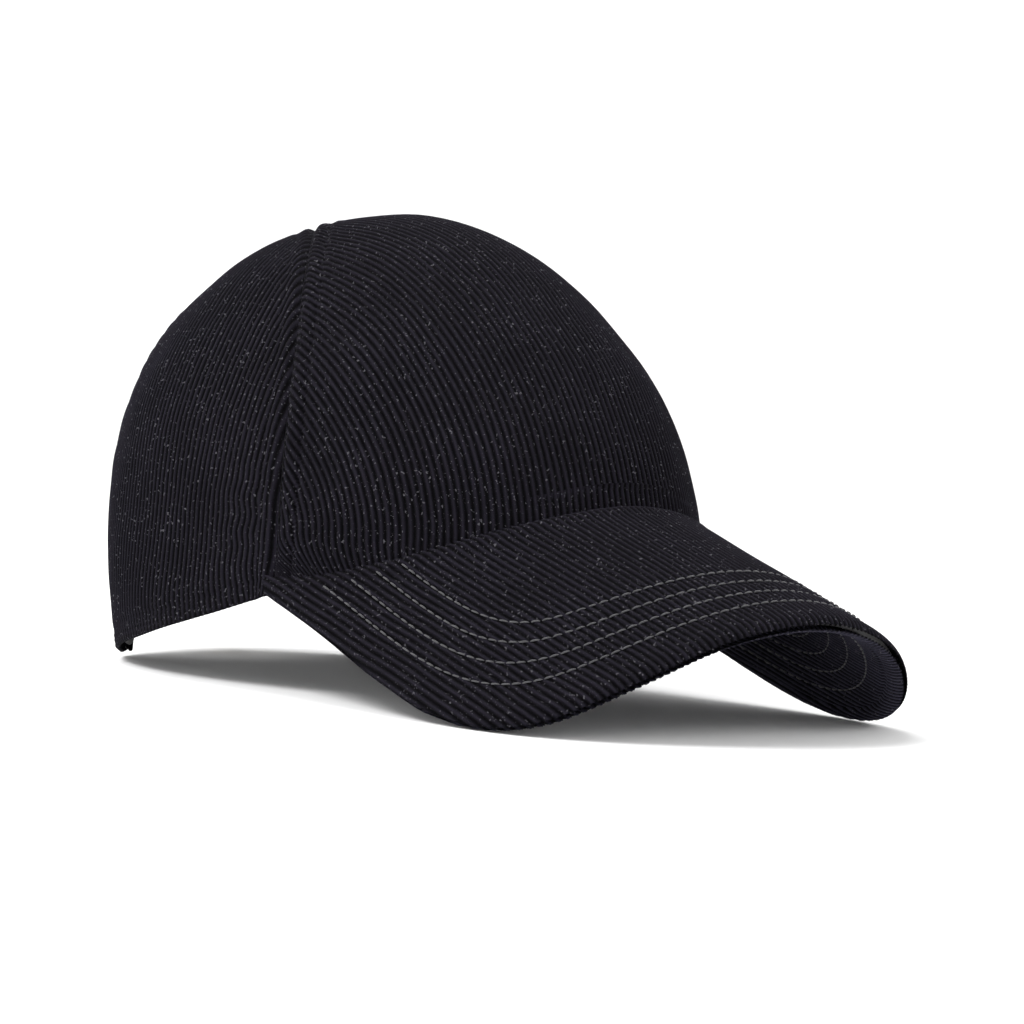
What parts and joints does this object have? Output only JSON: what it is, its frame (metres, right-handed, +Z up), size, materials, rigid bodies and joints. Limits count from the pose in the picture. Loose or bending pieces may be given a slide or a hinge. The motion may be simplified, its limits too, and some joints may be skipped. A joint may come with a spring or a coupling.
{
  "type": "bump cap",
  "caption": "Corduroy baseball-style bump cap with an arched stitched brim, a rear strap with a clamp buckle and a pull-out hard impact liner.",
  "frame": {"origin": "middle of the head opening, on the level surface that the cap stands on", "axes": "+Z up, the wearer faces -Y, +X is the wearer's left"},
  "size_m": [0.1718, 0.2763, 0.1472],
  "materials": {
    "corduroy": "ribbed cotton corduroy, near black with a faint purple cast, soft matt pile",
    "brim_plastic": "matt polyethylene board",
    "buckram": "stiff open-weave backing cloth",
    "tape": "plain woven cotton tape",
    "sweatband_twill": "brushed cotton twill",
    "label_satin": "blank satin ribbon",
    "loop_tape": "soft loop pile",
    "hook_tape": "stiff nylon hooks",
    "buckle_brass": "antiqued brass, worn bright at the edges",
    "abs_shell": "fine-textured moulded ABS",
    "eva_foam": "matt closed-cell foam"
  },
  "bodies": {
    "cap": {"front_panel": "corduroy", "side_panel_left": "corduroy", "side_panel_right": "corduroy", "back_panel_left": "corduroy", "back_panel_right": "corduroy", "brim_top_cover": "corduroy", "brim_under_cover": "corduroy", "brim_seam_allowance": "corduroy", "rear_strap": "corduroy", "buckle_tab": "corduroy", "brim_board": "brim_plastic", "front_buckram": "buckram", "seam_tape_front_left": "tape", "seam_tape_front_right": "tape", "seam_tape_rear_left": "tape", "seam_tape_rear_right": "tape", "seam_tape_centre": "tape", "apex_patch": "tape", "rear_arch_binding": "tape", "sweatband": "sweatband_twill", "care_label": "label_satin", "loop_patches": "loop_tape", "buckle_frame": "buckle_brass", "buckle_pin": "buckle_brass"},
    "impact_liner": {"impact_shell": "abs_shell", "pad_crown": "eva_foam", "pad_front": "eva_foam", "pad_rear": "eva_foam", "pad_left": "eva_foam", "pad_right": "eva_foam", "hook_patches": "hook_tape"},
    "buckle_lever": {"buckle_lever": "buckle_brass"}
  },
  "joints": [
    {"name": "liner_slide", "type": "slide", "parent": "cap", "child": "impact_liner", "axis": [0, 0, -1], "range_m": [0, 0.045]},
    {"name": "lever_hinge", "type": "hinge", "parent": "cap", "child": "buckle_lever", "pos_m": [-0.008, 0.09339, 0.0306], "axis": [0, 0, 1], "range_deg": [0, 100]}
  ]
}
